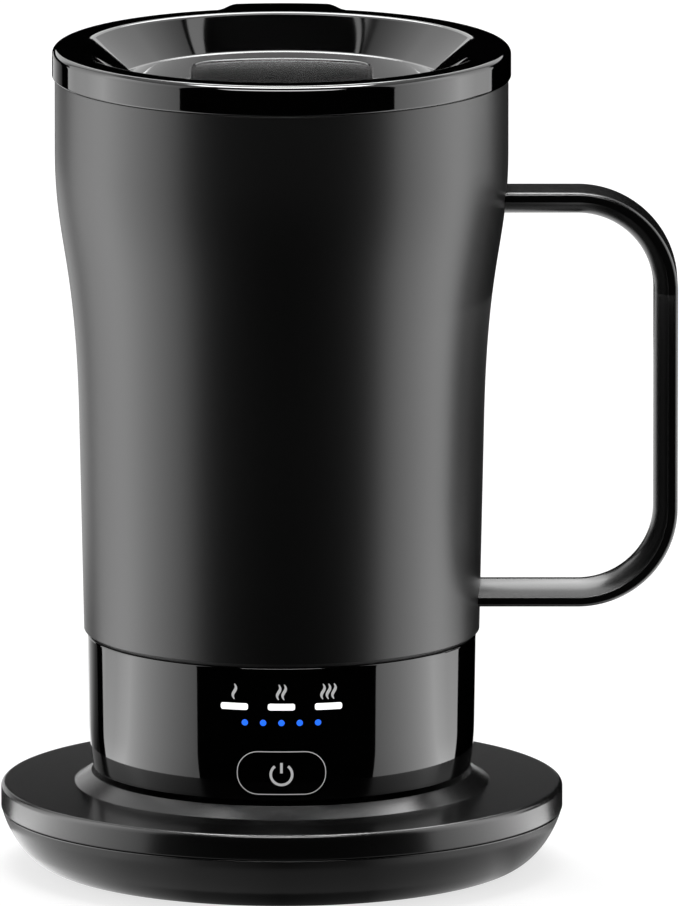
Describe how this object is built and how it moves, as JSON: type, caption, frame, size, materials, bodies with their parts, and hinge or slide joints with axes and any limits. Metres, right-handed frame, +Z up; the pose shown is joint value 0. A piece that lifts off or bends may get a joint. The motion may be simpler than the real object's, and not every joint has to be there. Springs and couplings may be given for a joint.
{
  "type": "self-heating mug",
  "caption": "Insulated self-heating mug with strap handle, sliding drink lid, lit heat-level display and push button, standing on a round charging coaster.",
  "frame": {"origin": "centre of the anti-slip pad's face under the coaster", "axes": "+Z up along the mug's axis, +X towards the handle, -Y towards the display"},
  "size_m": [0.13, 0.108, 0.1594],
  "materials": {
    "coaster_plastic": "fine satin mould texture",
    "silicone_black": "matte silicone",
    "silicone_grey": "translucent grey silicone",
    "circuit_board": "solder mask",
    "screw_steel": "zinc plated",
    "contact_brass": "gold plated",
    "inlet_steel": "nickel plated",
    "inner_plastic": "moulded",
    "connector_plastic": "moulded",
    "battery_wrap": "shrink sleeve",
    "light_white": "lit light pipe",
    "light_blue": "lit light pipe",
    "felt": "needled insulation",
    "lead_red": "silicone insulation",
    "heater_copper": "etched foil",
    "powder_coat": "matte black powder coat",
    "liner_steel": "brushed",
    "gloss_black": "piano gloss"
  },
  "bodies": {
    "coaster": {"coaster_base": "coaster_plastic", "coaster_top": "coaster_plastic", "coaster_pad": "silicone_black", "coaster_board": "circuit_board", "coaster_screws": "screw_steel", "contact_barrels": "contact_brass", "power_inlet": "inlet_steel"},
    "pin_left": {"contact_pin_left": "contact_brass"},
    "pin_centre": {"contact_pin_centre": "contact_brass"},
    "pin_right": {"contact_pin_right": "contact_brass"},
    "mug": {"bottom_cover": "inner_plastic", "foot_ring": "silicone_black", "contact_disc": "contact_brass", "contact_ring": "contact_brass", "contact_studs": "contact_brass", "base_screws": "screw_steel", "base_housing": "gloss_black", "control_board": "circuit_board", "board_components": "inner_plastic", "board_connector": "connector_plastic", "battery_cradle": "inner_plastic", "battery_cells": "battery_wrap", "display_board": "circuit_board", "indicator_leds": "connector_plastic", "light_mask": "inner_plastic", "level_bars": "light_white", "charge_dots": "light_blue", "tact_switch": "inner_plastic", "base_chassis": "inner_plastic", "heat_shield": "felt", "heater_leads": "lead_red", "heating_element": "heater_copper", "temperature_sensor": "connector_plastic", "outer_shell": "powder_coat", "liner": "liner_steel", "handle": "powder_coat"},
    "button": {"power_button": "gloss_black", "button_stem": "connector_plastic"},
    "lid": {"lid_shell": "gloss_black", "lid_gasket": "silicone_grey"},
    "slider": {"lid_slider": "gloss_black", "slider_seal": "silicone_grey", "slider_retainer": "inner_plastic"}
  },
  "joints": [
    {"name": "mug_lift", "type": "slide", "parent": "coaster", "child": "mug", "axis": [0, 0, 1], "range_m": [0, 0.08]},
    {"name": "lid_lift", "type": "slide", "parent": "mug", "child": "lid", "axis": [0, 0, 1], "range_m": [0, 0.06]},
    {"name": "slider_open", "type": "slide", "parent": "lid", "child": "slider", "axis": [0, 1, 0], "range_m": [0, 0.01]},
    {"name": "button_press", "type": "slide", "parent": "mug", "child": "button", "axis": [0, 1, 0], "range_m": [0, 0.0008], "stiffness_N_per_m": 500, "springref_m": -0.0015},
    {"name": "pin_left_press", "type": "slide", "parent": "coaster", "child": "pin_left", "axis": [0, 0, 1], "range_m": [-0.0008, 0], "stiffness_N_per_m": 300, "springref_m": 0.001},
    {"name": "pin_centre_press", "type": "slide", "parent": "coaster", "child": "pin_centre", "axis": [0, 0, 1], "range_m": [-0.0008, 0], "stiffness_N_per_m": 300, "springref_m": 0.001},
    {"name": "pin_right_press", "type": "slide", "parent": "coaster", "child": "pin_right", "axis": [0, 0, 1], "range_m": [-0.0008, 0], "stiffness_N_per_m": 300, "springref_m": 0.001}
  ]
}
